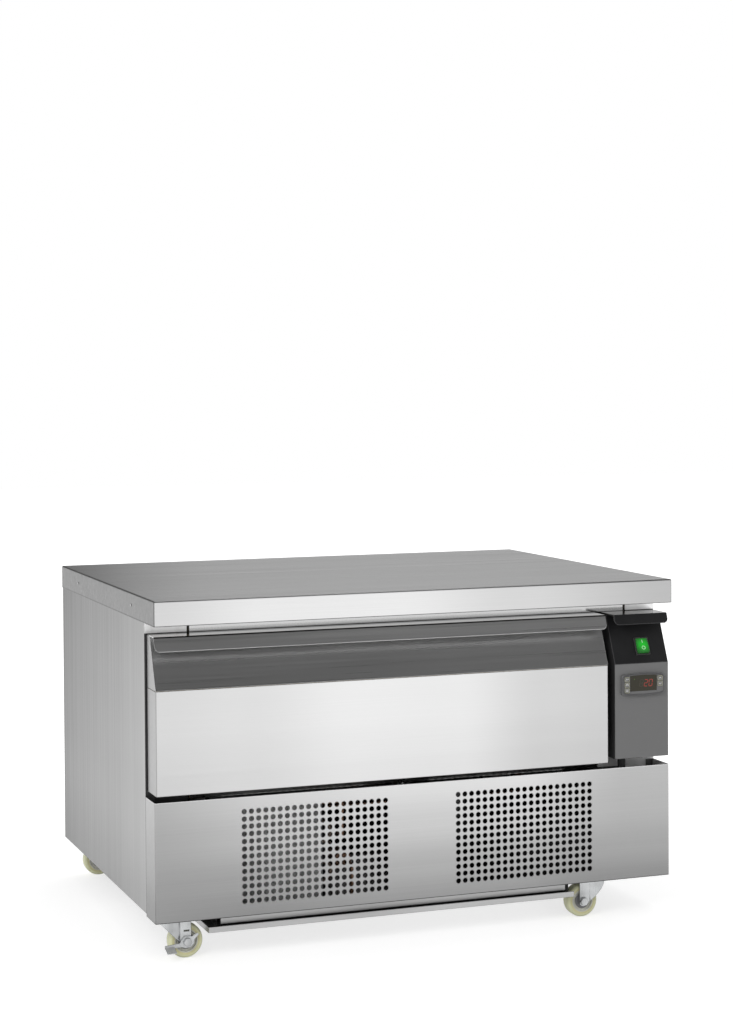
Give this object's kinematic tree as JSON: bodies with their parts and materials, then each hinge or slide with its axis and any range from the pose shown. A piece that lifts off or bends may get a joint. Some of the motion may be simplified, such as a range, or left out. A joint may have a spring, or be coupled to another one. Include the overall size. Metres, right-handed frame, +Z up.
{
  "type": "refrigerated drawer",
  "caption": "Low refrigerated drawer unit: flat worktop, one full-width drawer for pans with a hanging lip handle, control column beside it, perforated fascia below, on castors",
  "frame": {"origin": "On the floor, below the middle of the worktop.", "axes": "+Z is up, -Y is the front with the drawer and controls, +X is to the right for someone who faces the front."},
  "size_m": [0.9016, 0.7, 0.5715],
  "materials": {
    "steel": "satin, brushed along the length",
    "zinc": "bright zinc plate",
    "board": "plain chipboard",
    "foam": "rigid foam",
    "black_paint": "black, half gloss",
    "fins": "bare fins",
    "galvanised": "grey paint",
    "grey_plastic": "fine grain",
    "copper": "drawn copper",
    "rubber": "matt",
    "black_plastic": "fine grain, low sheen",
    "faceplate": "flat grey film",
    "bezel": "dark grey, satin",
    "display": "smoked window",
    "keys": "light grey",
    "rocker": "translucent green",
    "nylon": "cream nylon"
  },
  "bodies": {
    "cabinet": {"worktop": "steel", "worktop_core": "board", "side_panel_left": "steel", "side_panel_right": "steel", "back_panel": "steel", "front_frame": "steel", "cavity_liner": "steel", "foam_insulation": "foam", "bay_ceiling": "steel", "base_chassis": "zinc", "fascia": "steel", "machine_tray": "steel", "unit_base": "zinc", "compressor": "black_paint", "compressor_grommets": "rubber", "condenser_coil": "fins", "fan_shroud": "galvanised", "condenser_fan_motor": "black_paint", "filter_drier": "copper", "copper_pipes": "copper", "evaporator_coil": "fins", "duct_panel": "steel", "evaporator_fan_motor": "black_paint", "drain_pan": "grey_plastic", "control_housing": "black_plastic", "control_faceplate": "faceplate", "switch_body": "black_plastic", "controller_case": "bezel", "display_window": "display", "loom_boot": "rubber", "cable_gland": "rubber", "slide_outer": "zinc", "castor_plates": "zinc", "fasteners": "zinc"},
    "slide_middle": {"slide_middle": "zinc"},
    "drawer": {"slide_inner": "zinc", "drawer_skin": "steel", "drawer_foam": "foam", "drawer_inner_panel": "steel", "drawer_handle": "steel", "drawer_gasket": "rubber", "pan_frame": "steel"},
    "switch_rocker": {"switch_rocker": "rocker"},
    "key_left_1": {"key_left_1": "keys"},
    "key_left_2": {"key_left_2": "keys"},
    "key_left_3": {"key_left_3": "keys"},
    "key_right_1": {"key_right_1": "keys"},
    "key_right_2": {"key_right_2": "keys"},
    "condenser_fan": {"condenser_fan_blade": "grey_plastic"},
    "evaporator_fan": {"evaporator_fan_blade": "grey_plastic"},
    "castor_fl": {"castor_fork_fl": "zinc"},
    "wheel_fl": {"castor_wheel_fl": "nylon"},
    "brake_fl": {"brake_pedal_fl": "zinc"},
    "castor_fr": {"castor_fork_fr": "zinc"},
    "wheel_fr": {"castor_wheel_fr": "nylon"},
    "brake_fr": {"brake_pedal_fr": "zinc"},
    "castor_rl": {"castor_fork_rl": "zinc"},
    "wheel_rl": {"castor_wheel_rl": "nylon"},
    "castor_rr": {"castor_fork_rr": "zinc"},
    "wheel_rr": {"castor_wheel_rr": "nylon"}
  },
  "joints": [
    {"name": "drawer_slide", "type": "slide", "parent": "cabinet", "child": "drawer", "axis": [0, -1, 0], "range_m": [0, 0.54]},
    {"name": "slide_middle_run", "type": "slide", "parent": "cabinet", "child": "slide_middle", "axis": [0, -1, 0], "range_m": [0, 0.27]},
    {"name": "rocker_tilt", "type": "hinge", "parent": "cabinet", "child": "switch_rocker", "pos_m": [0.403, -0.32862, 0.45616], "axis": [1, 0, 0], "range_deg": [0, 18]},
    {"name": "key_left_1_press", "type": "slide", "parent": "cabinet", "child": "key_left_1", "axis": [0, 1, 0], "range_m": [0, 0.0005], "stiffness_N_per_m": 400},
    {"name": "key_left_2_press", "type": "slide", "parent": "cabinet", "child": "key_left_2", "axis": [0, 1, 0], "range_m": [0, 0.0005], "stiffness_N_per_m": 400},
    {"name": "key_left_3_press", "type": "slide", "parent": "cabinet", "child": "key_left_3", "axis": [0, 1, 0], "range_m": [0, 0.0005], "stiffness_N_per_m": 400},
    {"name": "key_right_1_press", "type": "slide", "parent": "cabinet", "child": "key_right_1", "axis": [0, 1, 0], "range_m": [0, 0.0005], "stiffness_N_per_m": 400},
    {"name": "key_right_2_press", "type": "slide", "parent": "cabinet", "child": "key_right_2", "axis": [0, 1, 0], "range_m": [0, 0.0005], "stiffness_N_per_m": 400},
    {"name": "condenser_fan_spin", "type": "hinge", "parent": "cabinet", "child": "condenser_fan", "pos_m": [-0.238, -0.23, 0.14115], "axis": [0, 1, 0], "continuous": true},
    {"name": "evaporator_fan_spin", "type": "hinge", "parent": "cabinet", "child": "evaporator_fan", "pos_m": [0.328, -0.14, 0.3915], "axis": [1, 0, 0], "continuous": true},
    {"name": "castor_fl_swivel", "type": "hinge", "parent": "cabinet", "child": "castor_fl", "pos_m": [-0.417, -0.303, 0.061], "axis": [0, 0, 1], "continuous": true},
    {"name": "wheel_fl_roll", "type": "hinge", "parent": "castor_fl", "child": "wheel_fl", "pos_m": [-0.393, -0.303, 0.0275], "axis": [0, 1, 0], "continuous": true},
    {"name": "brake_fl_press", "type": "hinge", "parent": "castor_fl", "child": "brake_fl", "pos_m": [-0.393, -0.319, 0.0275], "axis": [0, -1, 0], "range_deg": [0, 12]},
    {"name": "castor_fr_swivel", "type": "hinge", "parent": "cabinet", "child": "castor_fr", "pos_m": [0.322, -0.303, 0.061], "axis": [0, 0, 1], "continuous": true},
    {"name": "wheel_fr_roll", "type": "hinge", "parent": "castor_fr", "child": "wheel_fr", "pos_m": [0.298, -0.303, 0.0275], "axis": [0, 1, 0], "continuous": true},
    {"name": "brake_fr_press", "type": "hinge", "parent": "castor_fr", "child": "brake_fr", "pos_m": [0.298, -0.287, 0.0275], "axis": [0, 1, 0], "range_deg": [0, 12]},
    {"name": "castor_rl_swivel", "type": "hinge", "parent": "cabinet", "child": "castor_rl", "pos_m": [-0.417, 0.324, 0.061], "axis": [0, 0, 1], "continuous": true},
    {"name": "wheel_rl_roll", "type": "hinge", "parent": "castor_rl", "child": "wheel_rl", "pos_m": [-0.393, 0.324, 0.0275], "axis": [0, 1, 0], "continuous": true},
    {"name": "castor_rr_swivel", "type": "hinge", "parent": "cabinet", "child": "castor_rr", "pos_m": [0.322, 0.324, 0.061], "axis": [0, 0, 1], "continuous": true},
    {"name": "wheel_rr_roll", "type": "hinge", "parent": "castor_rr", "child": "wheel_rr", "pos_m": [0.298, 0.324, 0.0275], "axis": [0, 1, 0], "continuous": true}
  ],
  "couplings": [
    {"joint": "slide_middle_run", "follows": "drawer_slide", "ratio": 0.5}
  ]
}
